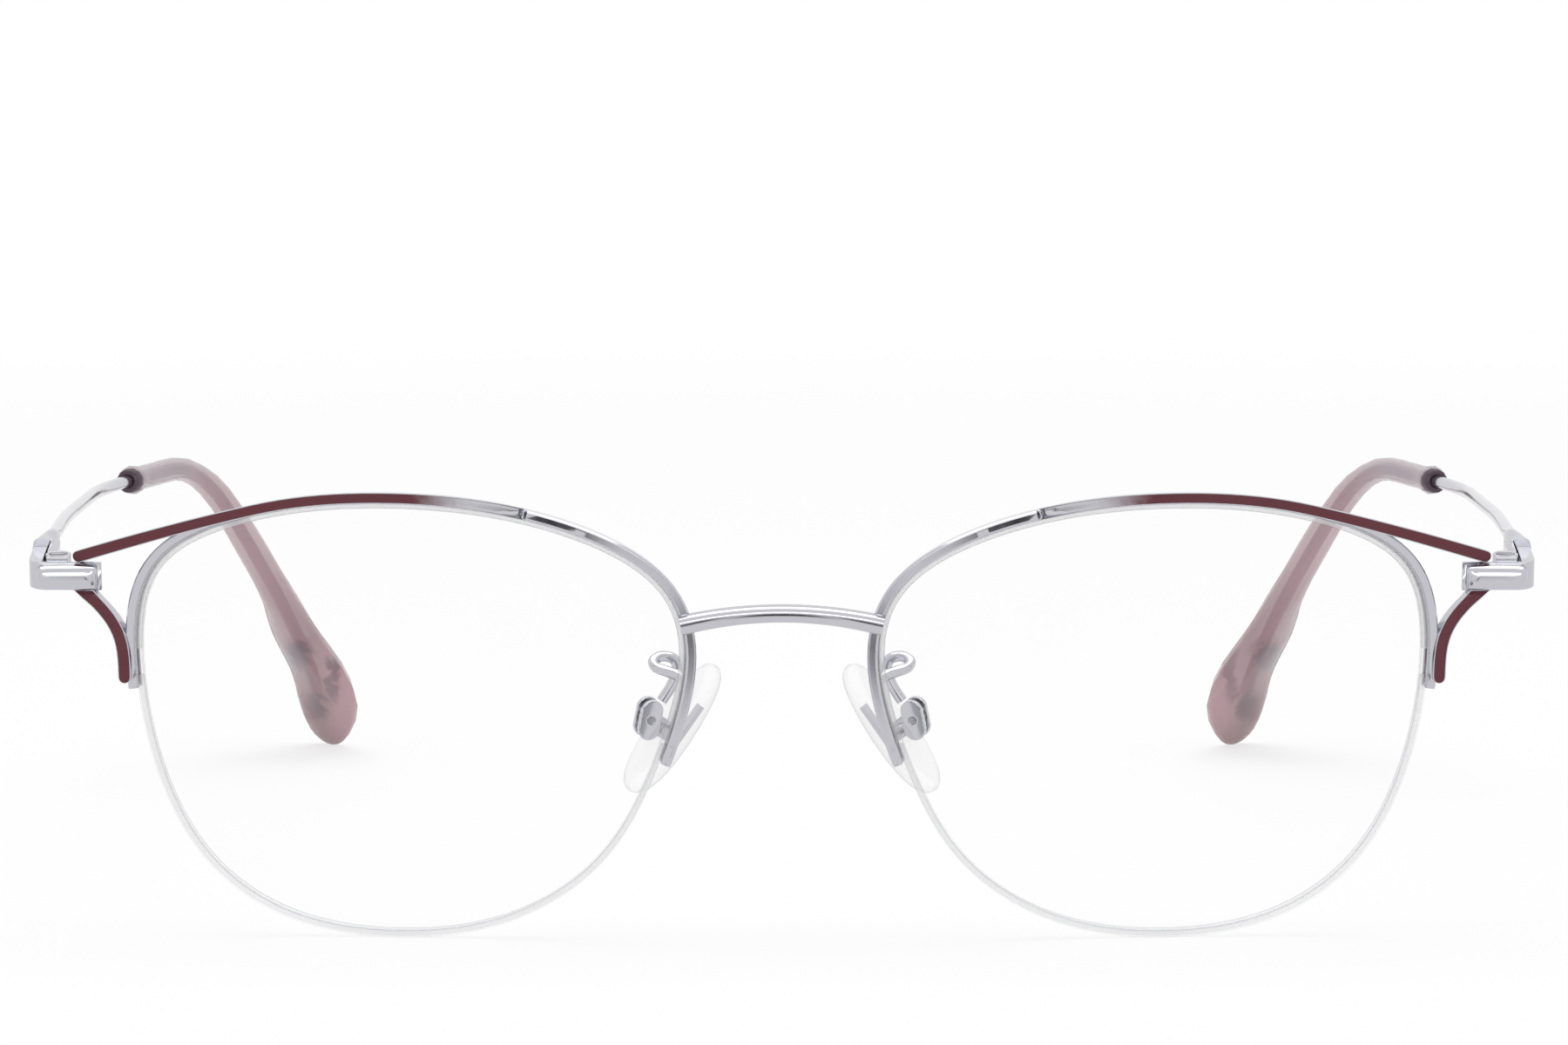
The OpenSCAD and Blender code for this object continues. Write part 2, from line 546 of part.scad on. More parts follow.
// Half width and half height of the acetate at s, which ends in a rounded paddle
function tip_half(s) = let (k = smooth((s - bend_at - grow_l / 7) / grow_l * 7 / 6),
    p = smooth((s - temple_l + round_l + widen_l) / widen_l),
    e = 1 - max(0, (s - temple_l + round_l) / round_l) ^ 2)
    [for (i = [0, 1]) mix(mix(tip_d / 2, ear_half[i], k), [paddle_t, paddle_w][i] / 2, p)
        * sqrt(max(0.01, e))];
function tip_ring(s) = let (h = tip_half(s), bulge = smooth((s - temple_l + bulge_at) / bulge_l)
    - smooth((s - temple_l + round_l) / round_l))
    temple_ring(s, h[0], h[1], tip_turn * smooth((s - bend_at) / turn_l), paddle_shift * bulge);
bore_r = wire_d / 2 + loose_fit;
module temple_tip() color(mauve) skin(concat(
    [for (s = concat([core_end + 0.3], [for (i = [core_end - 3 : -3 : tip_at + 0.3]) i], [tip_at]))
        temple_ring(s, bore_r, bore_r)],
    [temple_ring(tip_at, tip_d / 2 - tip_edge, tip_d / 2 - tip_edge),
        temple_ring(tip_at + tip_edge, tip_d / 2, tip_d / 2)],
    [for (s = [tip_at + 3 : 3 : temple_l - 3.5]) tip_ring(s)],
    [for (e = [2.4, 1.4, 0.7, 0.25, 0.05]) tip_ring(temple_l - e)]));

/* Nose pads and what carries them */
// Middle of the pad screw, in the front
pad_in = 3.15;
pad_back = 6.07;
pad_down = 0.95;
pad_pivot = [lens_out - lens_w / 2 + pad_in, rim_face_back + pad_back, -pad_down];
// The pad's own place: X away from the nose, Y towards the face, Z up along the pad
module at_pad() in_front() translate(pad_pivot) rotate([0, 0, -pad_splay]) rotate([0, -pad_lean, 0])
    children();
// Distance from the screw to the outer face of the pad, and of the pad's middle above the screw
pad_off = 1.75;
pad_rise = 0.5;
box_l = 3.9;
box_w = 2.1;
box_d = 2;
box_lean = 12;
tab_t = 0.8;
tab_r = 0.9;
// Running gap beside the tab, and round the pad screw
pad_gap = 0.1;
pad_bore_gap = 0.06;
// Plate moulded in the pad, at a distance from the screw
plate_l = 6.5;
plate_w = 1.3;
plate_t = 0.4;
plate_off = pad_off + 0.85 * pad_t;

// The arm's wire starts on the back of the rim. Its bends, round a loop and down into the pad box,
// are given from the pad screw.
arm_corner = 11.84;
arm_sunk = 0.2;
arm_rim = edge(arm_corner) + (rim_face / 2 + fit) * left_of(edge_way(arm_corner));
arm_root = lens_to_front(on_front(arm_rim) - (rim_back - arm_sunk) * forwards(arm_rim));
arm_bends = [[-3.1, -2.6, 4.8], [-1.8, -2, 5.15], [-0.8, -1.3, 5.35], [-0.6, -0.4, 5.75],
    [-1.4, 0.2, 6], [-2.5, 0.45, 5.6], [-2.75, 0.4, 4.5], [-2.2, 0.2, 3.1], [-1.3, 0, 1.7]];
arm_route = concat([arm_root, arm_root + [0, 0.85 * arm_d, 0]], [for (b = arm_bends) pad_pivot + b]);
function arm_point(t) = let (n = len(arm_route) - 1, i = min(floor(t), n - 1), f = t - i,
    a = arm_route[max(0, i - 1)], b = arm_route[i], c = arm_route[i + 1], d = arm_route[min(n, i + 2)])
    (2 * b + (c - a) * f + (2 * a - 5 * b + 4 * c - d) * f ^ 2
    + (3 * b - a - 3 * c + d) * f ^ 3) / 2;
module pad_arm() color(chrome) in_front() skin([for (t = [0 : 0.25 : len(arm_route) - 1])
    let (d = unit(arm_point(min(t + 0.02, len(arm_route) - 1.001)) - arm_point(max(t - 0.02, 0))),
        side = unit(cross(d, [0.5, 0.7, -0.5])), up = cross(d, side))
    [for (g = [0 : 45 : 315]) arm_point(t) + arm_d / 2 * (cos(g) * side + sin(g) * up)]]);

pad_head_d = pad_screw_d + 0.6;
module pad_box() color(chrome) at_pad() rotate([0, pad_lean - box_lean, 0]) difference() {
    union() for (z = [-1, 1]) {
        translate([0, box_d / 2, z * (box_l - box_w) / 2]) rotate([90, 0, 0])
            cylinder(d = box_w, h = box_d, $fn = round_n);
        translate([-box_w / 2, -box_d / 2, -(box_l - box_w) / 2]) cube([box_w, box_d, box_l - box_w]);
    }
    translate([-box_w, -tab_t / 2 - pad_gap, -box_l])
        cube([box_w + tab_r + pad_gap, tab_t + 2 * pad_gap, 2 * box_l]);
    rotate([90, 0, 0]) cylinder(d = pad_screw_d, h = 2 * box_d, center = true, $fn = round_n);
}
module pad_screw() color(steel) at_pad() rotate([-90, 0, 0]) difference() {
    union() {
        translate([0, 0, -box_d / 2]) cylinder(d = pad_screw_d, h = box_d, $fn = round_n);
        translate([0, 0, box_d / 2]) cylinder(d = pad_head_d, h = screw_head_h, $fn = round_n);
    }
    translate([-pad_head_d, -slot_w / 2, box_d / 2 + screw_head_h - slot_d])
        cube([2 * pad_head_d, slot_w, box_d]);
}
module pad_insert() color(chrome) at_pad() difference() {
    union() {
        translate([-plate_off - plate_t / 2, -plate_w / 2, pad_rise - plate_l / 2])
            cube([plate_t, plate_w, plate_l]);
        translate([-plate_off, -tab_t / 2, -tab_r]) cube([plate_off, tab_t, 2 * tab_r]);
        rotate([90, 0, 0]) cylinder(r = tab_r, h = tab_t, center = true, $fn = round_n);
    }
    rotate([90, 0, 0])
        cylinder(d = pad_screw_d + 2 * pad_bore_gap, h = 2 * box_d, center = true, $fn = round_n);
}
// Rings of the pad, each as shares of its thickness and of its width
pad_rings = [[0, 0.8], [0.1, 0.93], [0.32, 1], [0.6, 0.97], [0.82, 0.82], [0.94, 0.6], [1, 0.3]];
module nose_pad() color(clear) at_pad() translate([-pad_off, 0, pad_rise])
    skin([for (r = pad_rings)
        [for (g = [345 : -15 : 0]) [-r[0] * pad_t, pad_w / 2 * r[1] * cos(g) * (1 - 0.12 * sin(g)),
            (pad_l / 2 - (1 - r[1]) * pad_w / 2) * sin(g)]]]);

bridge();
right() rim();  // right_rim
right() rim_liner();  // right_rim_liner
right() lens();  // right_lens
right() nylon_cord();  // right_nylon_cord
right() brow_bar();  // right_brow_bar
right() brow_enamel();  // right_brow_enamel
right() lug();  // right_lug
right() lug_enamel();  // right_lug_enamel
right() end_piece();  // right_end_piece
right() hinge_front();  // right_hinge_front
right() hinge_screw();  // right_hinge_screw
right() pad_arm();  // right_pad_arm
right() pad_box();  // right_pad_box
right() pad_screw();  // right_pad_screw
right() nose_pad();  // right_nose_pad
right() pad_insert();  // right_pad_insert
right() hinge_temple();  // right_hinge_temple
right() temple();  // right_temple
right() temple_tip();  // right_temple_tip
left() rim();  // left_rim
left() rim_liner();  // left_rim_liner
left() lens();  // left_lens
left() nylon_cord();  // left_nylon_cord
left() brow_bar();  // left_brow_bar
left() brow_enamel();  // left_brow_enamel
left() lug();  // left_lug
left() lug_enamel();  // left_lug_enamel
left() end_piece();  // left_end_piece
left() hinge_front();  // left_hinge_front
left() hinge_screw();  // left_hinge_screw
left() pad_arm();  // left_pad_arm
left() pad_box();  // left_pad_box
left() pad_screw();  // left_pad_screw
left() nose_pad();  // left_nose_pad
left() pad_insert();  // left_pad_insert
left() hinge_temple();  // left_hinge_temple
left() temple();  // left_temple
left() temple_tip();  // left_temple_tip
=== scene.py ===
import json
import math

import bmesh
import bpy
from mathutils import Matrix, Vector

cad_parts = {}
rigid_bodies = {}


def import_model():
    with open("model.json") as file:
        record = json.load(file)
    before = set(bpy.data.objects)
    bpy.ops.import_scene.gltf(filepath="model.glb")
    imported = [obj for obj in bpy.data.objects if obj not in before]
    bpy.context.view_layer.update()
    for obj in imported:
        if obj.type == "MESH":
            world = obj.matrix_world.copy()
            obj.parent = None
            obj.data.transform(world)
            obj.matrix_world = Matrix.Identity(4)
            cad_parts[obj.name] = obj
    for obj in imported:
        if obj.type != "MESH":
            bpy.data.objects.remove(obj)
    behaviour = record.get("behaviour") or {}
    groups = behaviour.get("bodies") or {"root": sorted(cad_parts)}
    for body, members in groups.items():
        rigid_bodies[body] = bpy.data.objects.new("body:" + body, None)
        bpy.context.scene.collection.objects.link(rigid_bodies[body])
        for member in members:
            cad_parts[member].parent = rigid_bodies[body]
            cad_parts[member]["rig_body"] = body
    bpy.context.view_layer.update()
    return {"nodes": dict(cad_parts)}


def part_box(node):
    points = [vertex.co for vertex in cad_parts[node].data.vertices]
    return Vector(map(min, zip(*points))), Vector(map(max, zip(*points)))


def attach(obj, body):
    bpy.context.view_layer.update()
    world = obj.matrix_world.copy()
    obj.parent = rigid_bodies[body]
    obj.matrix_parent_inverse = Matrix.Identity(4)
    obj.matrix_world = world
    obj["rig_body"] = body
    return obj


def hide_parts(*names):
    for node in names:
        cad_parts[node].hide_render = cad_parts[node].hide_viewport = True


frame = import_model()
scene = bpy.context.scene

MM = 0.001
SIDES = ("right", "left")

# Colours in linear light
CHROME_TONE = (0.555, 0.555, 0.595)
STEEL_LIGHT = (0.42, 0.42, 0.45)
STEEL_DARK = (0.27, 0.27, 0.30)
BURGUNDY_DEEP = (0.100, 0.017, 0.026)
BURGUNDY_LIGHT = (0.128, 0.024, 0.036)
BARE_CHANNEL = (0.58, 0.575, 0.615)
ACETATE_FRONT = (0.56, 0.47, 0.51)
ACETATE_BACK = (0.56, 0.36, 0.40)
ACETATE_STREAK = (0.34, 0.27, 0.28)
# Paddle tones: its inner side, and the painted shade on its outer side
PADDLE_INNER = (0.50, 0.28, 0.31)
PADDLE_OUTER_SHADE = (0.25, 0.115, 0.14)
ACETATE_SMOKE = (0.075, 0.052, 0.08)
ACETATE_TOE = (0.34, 0.10, 0.12)
ACETATE_RING = (0.085, 0.055, 0.075)
CARD_BLACK = (0.01, 0.01, 0.012)
WHITE = (1, 1, 1)

# Where the burgundy fades out, outwards from the middle of the front
FADE_FROM = 28.6 * MM
FADE_TO = 35 * MM
# Height of the top of the end piece's domed polish, and the radius of the dome
PILLOW_TOP = 33.2 * MM
PILLOW_RADIUS = 8.8 * MM
# Smoky clouds in the acetate: how far out and up they lie, their half sizes, and their strength
SMOKE = ((53.4, 11.5, 1.5, 1.8, 0.85), (51.6, 5.0, 1.5, 1.8, 0.8), (49.3, 9.6, 0.7, 3.6, 0.6))

# Widths of softened edges
BAR_EDGE = 0.02 * MM
SCREW_EDGE = 0.03 * MM
PLATE_EDGE = 0.05 * MM
KNUCKLE_EDGE = 0.06 * MM
RIM_EDGE = 0.08 * MM
BLOCK_EDGE = 0.08 * MM
LENS_EDGE = 0.05 * MM
# Finest form that is left in the cast pad box and in the moulded pads
BOX_GRAIN = 0.08 * MM
PAD_GRAIN = 0.14 * MM

# Photo camera: its place, how far down it looks in degrees, its film width and focal length in mm
CAMERA_PLACE = (0.0002, -0.76338, 0.11957)
CAMERA_DOWN = 6.5
FILM_WIDTH = 36.0
FOCAL_LENGTH = 172.62

# Table and cards in metres: the cards lie a hair above the table, before the glasses
FLOOR_SIZE = (12, 12)
CARD_HEIGHT = 0.0004
NEAR_CARD_SIZE = (0.10, 0.10)
NEAR_CARD_PLACE = (0, -0.175, CARD_HEIGHT)
FAR_CARD_SIZE = (0.8, 0.95)
FAR_CARD_PLACE = (0, -0.7, CARD_HEIGHT)
# Light from all around that falls on the glasses
SKY_LIGHT = 0.58


# Shader maths
class Wire:
    """A socket, or a number, that adds Math nodes where it is used in an expression."""

    def __init__(self, tree, socket):
        self.tree = tree
        self.socket = socket

    def _math(self, operation, *values, clamp=False):
        node = self.tree.nodes.new("ShaderNodeMath")
        node.operation = operation
        node.use_clamp = clamp
        for slot, value in zip(node.inputs, values):
            plug(self.tree, slot, value)
        return Wire(self.tree, node.outputs[0])

    def __add__(self, other):
        return self._math("ADD", self, other)

    def __radd__(self, other):
        return self._math("ADD", other, self)

    def __sub__(self, other):
        return self._math("SUBTRACT", self, other)

    def __rsub__(self, other):
        return self._math("SUBTRACT", other, self)

    def __mul__(self, other):
        return self._math("MULTIPLY", self, other)

    def __rmul__(self, other):
        return self._math("MULTIPLY", other, self)

    def __truediv__(self, other):
        return self._math("DIVIDE", self, other)

    def __pow__(self, other):
        return self._math("POWER", self, other)

    def __abs__(self):
        return self._math("ABSOLUTE", self)

    def clamped(self):
        """The same value, kept between 0 and 1."""
        return self._math("ADD", self, 0.0, clamp=True)

    def ramp(self, zero, one):
        """0 on zero's side and 1 on one's side, with a soft change between them."""
        node = self.tree.nodes.new("ShaderNodeMapRange")
        node.interpolation_type = "SMOOTHSTEP"
        plug(self.tree, node.inputs["Value"], self)
        node.inputs["From Min"].default_value = min(zero, one)
        node.inputs["From Max"].default_value = max(zero, one)
        node.inputs["To Min"].default_value = 0.0 if zero < one else 1.0
        node.inputs["To Max"].default_value = 1.0 if zero < one else 0.0
        return Wire(self.tree, node.outputs[0])


def plug(tree, slot, value):
    """Gives a socket a wire, a number or a colour."""
    if isinstance(value, Wire):
        tree.links.new(value.socket, slot)
        return
    if isinstance(value, tuple) and len(value) == 3 and len(slot.default_value) == 4:
        value = (*value, 1.0)
    slot.default_value = value


class Recipe:
    """The nodes of one material or of the world."""

    def __init__(self, tree):
        self.tree = tree

    def node(self, kind, values=None, output=0):
        """Any node, with values for its inputs, as a wire from one of its outputs."""
        node = self.tree.nodes.new(kind)
        for name, value in (values or {}).items():
            plug(self.tree, node.inputs[name], value)
        return Wire(self.tree, node.outputs[output])

    def here(self):
        """The place in the object's own coordinates, in metres."""
        return self.node("ShaderNodeTexCoord", output="Object")

    def axis(self, letter):
        return self.node("ShaderNodeSeparateXYZ", {0: self.here()}, output=letter)

    def noise(self, scale, detail=3.0, rough=0.5, stretch=(1, 1, 1), warp=0.0):
        place = self.node("ShaderNodeMapping", {"Vector": self.here(), "Scale": stretch})
        return self.node("ShaderNodeTexNoise", {"Vector": place, "Scale": scale, "Detail": detail,
                                                "Roughness": rough, "Distortion": warp})

    def graze(self, blend):
        """Near 0 where a face is seen straight on, and 1 where it is seen edge on."""
        return self.node("ShaderNodeLayerWeight", {"Blend": blend}, output="Facing")

    def mix(self, factor, a, b):
        """Colour a at 0 and colour b at 1."""
        node = self.tree.nodes.new("ShaderNodeMix")
        node.data_type = "RGBA"
        plug(self.tree, node.inputs[0], factor)
        plug(self.tree, node.inputs[6], a)
        plug(self.tree, node.inputs[7], b)
        return Wire(self.tree, node.outputs[2])

    def bump(self, height, depth, strength=1.0):
        """A normal bent by a height, where 1 is as high as depth, in metres."""
        return self.node("ShaderNodeBump",
                         {"Height": height, "Distance": depth, "Strength": strength})

    def seen(self):
        """1 for rays from the camera, from metal and through glass, and 0 for those that only light."""
        rays = [self.node("ShaderNodeLightPath", output=name)
                for name in ("Is Camera Ray", "Is Glossy Ray", "Is Transmission Ray")]
        return (rays[0] + rays[1] + rays[2]).clamped()


class Finish(Recipe):
    """One material, with its Principled shader."""

    def __init__(self, name, **sockets):
        self.material = bpy.data.materials.new(name)
        self.material.use_nodes = True
        super().__init__(self.material.node_tree)
        self.shader = self.tree.nodes["Principled BSDF"]
        self.set(**sockets)

    def set(self, **sockets):
        for name, value in sockets.items():
            plug(self.tree, self.shader.inputs[name.replace("_", " ")], value)
        return self


# Finishes
def polished_chrome(name, domed=False):
    """Bright plated metal with the soft waviness that polishing leaves. On the end piece the
    polishing has left the face a little domed."""
    f = Finish(name, Metallic=1.0)
    haze = f.noise(900, 4, 0.6)
    wave_height = 0.006 * MM
    height = wave_height * f.noise(260, 2, 0.4)
    if domed:
        height = height - (f.axis("Z") - PILLOW_TOP) ** 2 / (2 * PILLOW_RADIUS)
    hazy_tone = tuple(channel * 0.95 for channel in CHROME_TONE)
    f.set(Base_Color=f.mix(haze, CHROME_TONE, hazy_tone),
          Roughness=0.09 + 0.07 * haze, Normal=f.bump(height, 1.0))
    return f.material


def satin_steel():
    """Turned screw steel with fine rings."""
    f = Finish("satin_steel", Metallic=1.0)
    grain = f.noise(5200, 2, 0.5, (1, 1, 6))
    f.set(Base_Color=f.mix(grain, STEEL_LIGHT, STEEL_DARK),
          Roughness=0.24 + 0.16 * grain, Normal=f.bump(grain, 0.01 * MM, 0.4))
    return f.material


def burgundy_enamel(name, fades=False):
    """Burgundy enamel. On the brow bar it fades to the bare polished channel towards the nose."""
    f = Finish(name, Coat_Weight=0.25, Coat_Roughness=0.12, Specular_IOR_Level=0.25)
    enamel = f.mix(f.noise(420, 4, 0.55), BURGUNDY_DEEP, BURGUNDY_LIGHT)
    f.set(Base_Color=enamel, Roughness=0.36)
    if fades:
        wobble = (f.noise(1400, 3, 0.6) - 0.5) * (2 * MM)
        cover = (abs(f.axis("X")) + wobble).ramp(FADE_FROM, FADE_TO)
        f.set(Base_Color=f.mix(cover, BARE_CHANNEL, enamel),
              Metallic=1.0 - cover, Roughness=0.20 + 0.16 * cover)
    f.set(Normal=f.bump(f.noise(700, 2, 0.4), 0.02 * MM, 0.25))
    return f.material


def clear_lens():
    """Clear lens faces: nearly invisible, brighter where they are seen at a low angle."""
    f = Finish("clear_lens", Roughness=0.02, IOR=1.5)
    graze = f.graze(0.35)
    dust = f.noise(300, 5, 0.7).ramp(0.62, 0.8)
    f.set(Base_Color=f.mix(graze, (0.95, 0.96, 0.98), (0.80, 0.84, 0.88)),
          Alpha=(0.02 + 0.5 * graze ** 4 + 0.004 * dust).clamped())
    return f.material


def lens_wall():
    """Ground wall of the lens, with its groove."""
    f = Finish("lens_wall", Roughness=0.35, IOR=1.5)
    grind = f.noise(2600, 3, 0.6, (1, 3, 1))
    f.set(Base_Color=f.mix(grind, (0.82, 0.84, 0.87), (0.93, 0.94, 0.96)),
          Alpha=0.22 + 0.04 * grind, Normal=f.bump(grind, 0.01 * MM, 0.4))
    return f.material


def lens_bevel_painted_reflection():
    """Thin polished bevel beside the wall, which shows as a grey line: its grey colour is a painted
    reflection, the dark line that the lens edge reflects.
    """
    f = Finish("lens_bevel_painted_reflection", Roughness=0.3, IOR=1.5, Specular_IOR_Level=0.2)
    grind = f.noise(900, 3, 0.6)
    # Painted reflection: a grey colour on a clear bevel stands in for the dark line at the lens edge
    f.set(Base_Color=f.mix(grind, (0.34, 0.33, 0.33), (0.48, 0.47, 0.47)),
          Alpha=0.38 + 0.05 * grind)
    return f.material


def clear_nylon():
    """Nylon thread and liner."""
    f = Finish("clear_nylon", Roughness=0.22, IOR=1.53)
    draw = f.noise(1500, 2, 0.5)
    f.set(Base_Color=f.mix(draw, (0.90, 0.90, 0.92), (0.97, 0.97, 0.98)),
          Alpha=0.36 + 0.05 * draw)
    return f.material


def clear_silicone():
    """Soft clear pads: faint grey where the side is seen through."""
    f = Finish("clear_silicone", Roughness=0.14, IOR=1.41)
    graze = f.graze(0.5)
    cloud = f.noise(340, 3, 0.5)
    f.set(Base_Color=f.mix(graze ** 2, (0.93, 0.93, 0.95), (0.42, 0.42, 0.45)),
          Alpha=(0.03 + 0.62 * graze ** 3 + 0.03 * cloud).clamped(),
          Normal=f.bump(cloud, 0.03 * MM, 0.3))
    return f.material


def smoke_in_paddle(f):
    """1 in the middle of each smoky cloud and 0 outside, with ragged edges."""
    drift = (f.noise(330, 4, 0.65) - 0.5) * (5 * MM)
    smoke = 0.0
    for out, up, half_width, half_height, strength in SMOKE:
        beside = (abs(f.axis("X")) + drift - out * MM) / (half_width * MM)
        above = (f.axis("Z") - drift - up * MM) / (half_height * MM)
        smoke = (beside ** 2 + above ** 2).ramp(1.8, 0.1) * strength + smoke
    cloud = f.noise(150, 3, 0.5, (1, 0.7, 0.7), 0.6).ramp(0.44, 0.60)
    return smoke.clamped() * (0.75 + 0.25 * cloud)


def mauve_acetate(front_y, end_y):
    """Translucent tip: grey mauve at the front, pinker behind, smoky clouds in the paddle, and painted
    shade that makes the paddle darker towards its outer side.
    """
    f = Finish("mauve_acetate", Roughness=0.14, IOR=1.49, Specular_IOR_Level=0.3)
    graze = f.graze(0.4)
    back = f.axis("Y")
    along = back.ramp(front_y + 10 * MM, front_y + 30 * MM)
    paddle = back.ramp(end_y - 24 * MM, end_y - 10 * MM)
    toe = back.ramp(end_y - 8 * MM, end_y - 1 * MM)
    ring = back.ramp(front_y + 1.3 * MM, front_y + 0.7 * MM)
    # Painted shade: the paddle turns darker towards its outer side
    outer_shade = abs(f.axis("X")).ramp(48.8 * MM, 51.8 * MM)
    streak = f.noise(420, 3, 0.6, (1, 0.2, 0.2))
    smoke = smoke_in_paddle(f)
    body = f.mix(along, ACETATE_FRONT, ACETATE_BACK)
    body = f.mix(streak * 0.3, body, ACETATE_STREAK)
    # Painted shade across the paddle, from its lighter inner side to its darker outer side
    body = f.mix(paddle * 0.8, body, f.mix(outer_shade, PADDLE_INNER, PADDLE_OUTER_SHADE))
    body = f.mix(smoke, body, ACETATE_SMOKE)
    body = f.mix(toe * 0.45, body, ACETATE_TOE)
    body = f.mix(ring, body, ACETATE_RING)
    cover = 0.54 + 0.3 * graze ** 2 + 0.14 * paddle + 0.25 * smoke + 0.5 * ring
    f.set(Base_Color=body, Alpha=cover.clamped(),
          Normal=f.bump(f.noise(420, 2, 0.5), 0.04 * MM, 0.2))
    return f.material


# Pieces
def welded(node):
    """A merged copy of a CAD node's mesh, with the flat faces whole again."""
    bm = bmesh.new()
    bm.from_mesh(frame["nodes"][node].data)
    bmesh.ops.remove_doubles(bm, verts=bm.verts, dist=0.002 * MM)
    bmesh.ops.dissolve_degenerate(bm, dist=0.001 * MM, edges=bm.edges)
    bmesh.ops.join_triangles(bm, faces=bm.faces, angle_face_threshold=0.5,
                             angle_shape_threshold=1.2, cmp_seam=False, cmp_sharp=False)
    return bm


def finished(bm, node, materials, angle):
    """The piece that stands for a CAD node and rides on its body. Edges that bend by more
    than the angle, in degrees, stay crisp."""
    mesh = bpy.data.meshes.new(node + "_dressed")
    bm.to_mesh(mesh)
    bm.free()
    piece = bpy.data.objects.new(node + "_dressed", mesh)
    scene.collection.objects.link(piece)
    for material in materials:
        mesh.materials.append(material)
    for polygon in mesh.polygons:
        polygon.use_smooth = True
    mesh.set_sharp_from_angle(angle=math.radians(angle))
    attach(piece, frame["nodes"][node]["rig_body"])
    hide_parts(node)
    return piece


def soften(piece, width, segments, angle=40):
    """Rounds off the edges that bend by more than the angle, in degrees."""
    soft = piece.modifiers.new("soft_edges", "BEVEL")
    soft.width = width
    soft.segments = segments
    soft.limit_method = "ANGLE"
    soft.angle_limit = math.radians(angle)
    soft.harden_normals = True


def rounded(bm, cuts):
    """Cuts every edge and lifts the new points onto the curved surface. The flat ends are
    left off meanwhile, so that they stay flat."""
    def at_flat_end(edge, level=1, corner=50):
        bend = math.degrees(edge.calc_face_angle(0.0))
        return bend < level or bend > corner

    ends = [face for face in bm.faces if all(at_flat_end(edge) for edge in face.edges)]
    bmesh.ops.delete(bm, geom=ends, context="FACES")
    bm.normal_update()
    bmesh.ops.subdivide_edges(bm, edges=bm.edges, cuts=cuts, smooth=1.0, use_grid_fill=True)
    rims = [edge for edge in bm.edges if edge.is_boundary]
    bmesh.ops.holes_fill(bm, edges=rims, sides=0)
    bmesh.ops.recalc_face_normals(bm, faces=bm.faces)


def dressed(node, material, angle=38, rounds=0, bevel=0.0, segments=2):
    """A CAD node with its own finish, its curves cut finer or its edges softened."""
    bm = welded(node)
    if rounds:
        rounded(bm, rounds)
    piece = finished(bm, node, [material], angle)
    if bevel:
        soften(piece, bevel, segments)
    return piece


def moulded(node, material, grain, passes):
    """A CAD node as one soft moulding, with every edge rounded off."""
    piece = finished(welded(node), node, [material], 180)
    cast = piece.modifiers.new("cast", "REMESH")
    cast.mode = "VOXEL"
    cast.voxel_size = grain
    cast.use_smooth_shade = True
    flow = piece.modifiers.new("flow", "SMOOTH")
    flow.factor = 0.5
    flow.iterations = passes
    return piece


def lens_piece(side):
    """A lens whose faces, wall and two thin edge bevels each have their finish."""
    optical, wall, line = range(3)
    bm = welded(f"{side}_lens")
    for face in bm.faces:
        face.material_index = optical if abs(face.normal.y) > 0.75 else wall
    outline = [edge for edge in bm.edges if len(edge.link_faces) == 2
               and {face.material_index for face in edge.link_faces} == {optical, wall}]
    cut = bmesh.ops.bevel(bm, geom=outline, offset=LENS_EDGE, offset_type="OFFSET",
                          affect="EDGES", segments=1, profile=0.5, material=-1,
                          clamp_overlap=False)
    for face in cut["faces"]:
        face.material_index = line
    finished(bm, f"{side}_lens", [lens_clear, lens_ground, lens_painted_line], 30)


chrome = polished_chrome("polished_chrome")
pillow_chrome = polished_chrome("pillow_chrome", domed=True)
steel = satin_steel()
lens_clear = clear_lens()
lens_ground = lens_wall()
lens_painted_line = lens_bevel_painted_reflection()
nylon = clear_nylon()
silicone = clear_silicone()
brow_enamel = burgundy_enamel("brow_enamel_finish", fades=True)
lug_enamel = burgundy_enamel("lug_enamel_finish")
tip_low, tip_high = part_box("right_temple_tip")
acetate = mauve_acetate(tip_low.y, tip_high.y)

dressed("bridge", chrome, rounds=1)
for side in SIDES:
    dressed(f"{side}_rim", chrome, 40, bevel=RIM_EDGE, segments=3)
    dressed(f"{side}_rim_liner", nylon, 30)
    lens_piece(side)
    dressed(f"{side}_nylon_cord", nylon, 60)
    dressed(f"{side}_brow_bar", chrome, 30, bevel=BAR_EDGE)
    dressed(f"{side}_brow_enamel", brow_enamel, 60)
    dressed(f"{side}_lug", chrome, 30, bevel=BAR_EDGE)
    dressed(f"{side}_lug_enamel", lug_enamel, 60)
    dressed(f"{side}_end_piece", pillow_chrome, 40, bevel=BLOCK_EDGE)
    for half in ("hinge_front", "hinge_temple"):
        dressed(f"{side}_{half}", chrome, 40, bevel=KNUCKLE_EDGE)
    for screw in ("hinge_screw", "pad_screw"):
        dressed(f"{side}_{screw}", steel, 40, bevel=SCREW_EDGE)
    dressed(f"{side}_pad_arm", chrome, 60, rounds=2)
    moulded(f"{side}_pad_box", chrome, BOX_GRAIN, passes=4)
    dressed(f"{side}_pad_insert", chrome, 40, bevel=PLATE_EDGE)
    moulded(f"{side}_nose_pad", silicone, PAD_GRAIN, passes=6)
    dressed(f"{side}_temple", chrome, 50, rounds=1)
    dressed(f"{side}_temple_tip", acetate, 50, rounds=1)


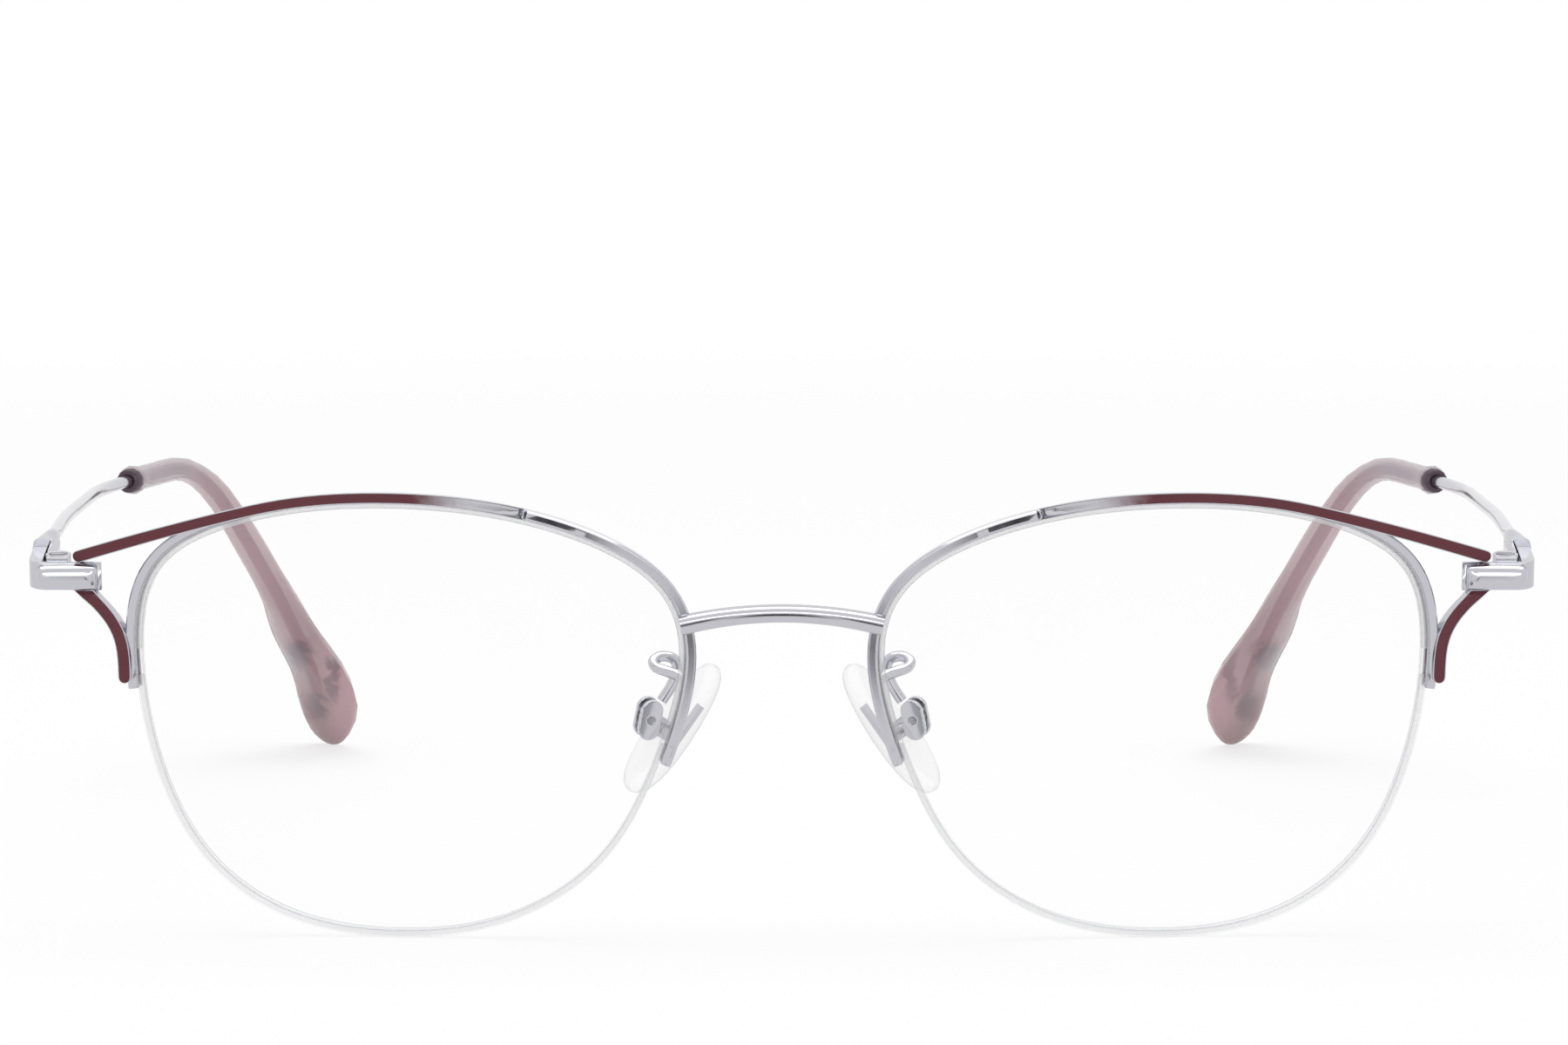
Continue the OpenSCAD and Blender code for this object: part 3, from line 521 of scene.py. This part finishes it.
# Floor, light and camera
def pale_floor():
    """White table whose own light hides its grey, so that only the object's shadow shows."""
    f = Finish("pale_floor", Roughness=0.6, Specular_IOR_Level=0.0, Base_Color=(0.99, 0.99, 0.99))
    f.set(Normal=f.bump(f.noise(30, 3, 0.5), 0.1 * MM, 0.1))
    glow = f.node("ShaderNodeEmission", {"Color": WHITE, "Strength": 1.0})
    # The shadow shows within a quarter of a metre and is gone at 0.6 metre
    far = (f.axis("X") ** 2 + f.axis("Y") ** 2).ramp(0.06, 0.36)
    both = f.tree.nodes.new("ShaderNodeMixShader")
    plug(f.tree, both.inputs[0], (0.7 + 0.3 * far) * f.seen())
    f.tree.links.new(f.shader.outputs[0], both.inputs[1])
    plug(f.tree, both.inputs[2], glow)
    f.tree.links.new(both.outputs[0], f.tree.nodes["Material Output"].inputs[0])
    return f.material


def near_card_finish():
    """Black card with soft edges: a middle patch for the bridge and one beside it for each rim."""
    f = Finish("near_card", Roughness=0.9, Base_Color=CARD_BLACK, Specular_IOR_Level=0.0)
    out = abs(f.axis("X"))
    front = f.axis("Y")
    deep = front.ramp(-215 * MM, -198 * MM) * front.ramp(-130 * MM, -147 * MM)
    middle = out.ramp(18 * MM, 9 * MM)
    beside = out.ramp(19 * MM, 25 * MM) * out.ramp(42 * MM, 34 * MM)
    f.set(Alpha=deep * (middle + beside).clamped())
    return f.material


def far_card_finish():
    """Black card farther off, which draws the dark wedge on the end pieces. start is how far
    out on the end piece the card's reflection is seen, and the wedge is widest at the nose."""
    f = Finish("far_card", Roughness=0.9, Base_Color=CARD_BLACK, Specular_IOR_Level=0.0)
    away = -62 * MM - f.axis("Y")
    start = abs(f.axis("X")) - 0.09 * away
    near_edge = away - 50 * (start - 60 * MM)
    f.set(Alpha=start.ramp(45 * MM, 50 * MM) * near_edge.ramp(160 * MM, 230 * MM)
          * away.ramp(1080 * MM, 900 * MM) * 0.9)
    return f.material


def laid(name, size, centre, material):
    """A flat stage piece on the table."""
    bm = bmesh.new()
    bmesh.ops.create_grid(bm, x_segments=8, y_segments=8, size=0.5)
    bmesh.ops.scale(bm, vec=(*size, 1), verts=bm.verts)
    bmesh.ops.translate(bm, vec=centre, verts=bm.verts)
    mesh = bpy.data.meshes.new(name)
    bm.to_mesh(mesh)
    bm.free()
    sheet = bpy.data.objects.new(name, mesh)
    scene.collection.objects.link(sheet)
    mesh.materials.append(material)
    return sheet


laid("floor", FLOOR_SIZE, (0, 0, 0), pale_floor())
# Only reflections see the cards, which draw the dark lines that polished metal shows
cards = [laid("card", NEAR_CARD_SIZE, NEAR_CARD_PLACE, near_card_finish()),
         laid("far_card", FAR_CARD_SIZE, FAR_CARD_PLACE, far_card_finish())]
for card in cards:
    card.visible_camera = False
    card.visible_diffuse = False
    card.visible_shadow = False
    card.visible_transmission = False

world = bpy.data.worlds.new("studio")
scene.world = world
world.use_nodes = True
sky = Recipe(world.node_tree)
fill = sky.tree.nodes["Background"]
plug(sky.tree, fill.inputs["Color"], WHITE)
plug(sky.tree, fill.inputs["Strength"], SKY_LIGHT + (1 - SKY_LIGHT) * sky.seen())


def softbox(name, place, aim, size, radiance):
    """A soft lamp whose face is as bright as radiance, where 1 is a white wall."""
    lamp = bpy.data.lights.new(name, "AREA")
    lamp.shape = "RECTANGLE"
    lamp.size = size[0]
    lamp.size_y = size[1]
    lamp.energy = radiance * math.pi * size[0] * size[1]
    holder = bpy.data.objects.new(name, lamp)
    scene.collection.objects.link(holder)
    holder.location = place
    holder.rotation_euler = (Vector(aim) - Vector(place)).to_track_quat("-Z", "Y").to_euler()


softbox("overhead", place=(0, 0, 1.0), aim=(0, 0, 0), size=(1.25, 0.85), radiance=1.7)
softbox("front", place=(0, -1.5, 0.2), aim=(0, 0, 0.03), size=(1.1, 0.3), radiance=1.8)

camera_data = bpy.data.cameras.new("photo_camera")
camera = bpy.data.objects.new("photo_camera", camera_data)
scene.collection.objects.link(camera)
scene.camera = camera
camera_data.sensor_width = FILM_WIDTH
camera_data.lens = FOCAL_LENGTH
camera_data.clip_start = 0.01
camera.location = CAMERA_PLACE
camera.rotation_euler = (math.radians(90 - CAMERA_DOWN), 0, 0)

scene.view_settings.view_transform = "Standard"
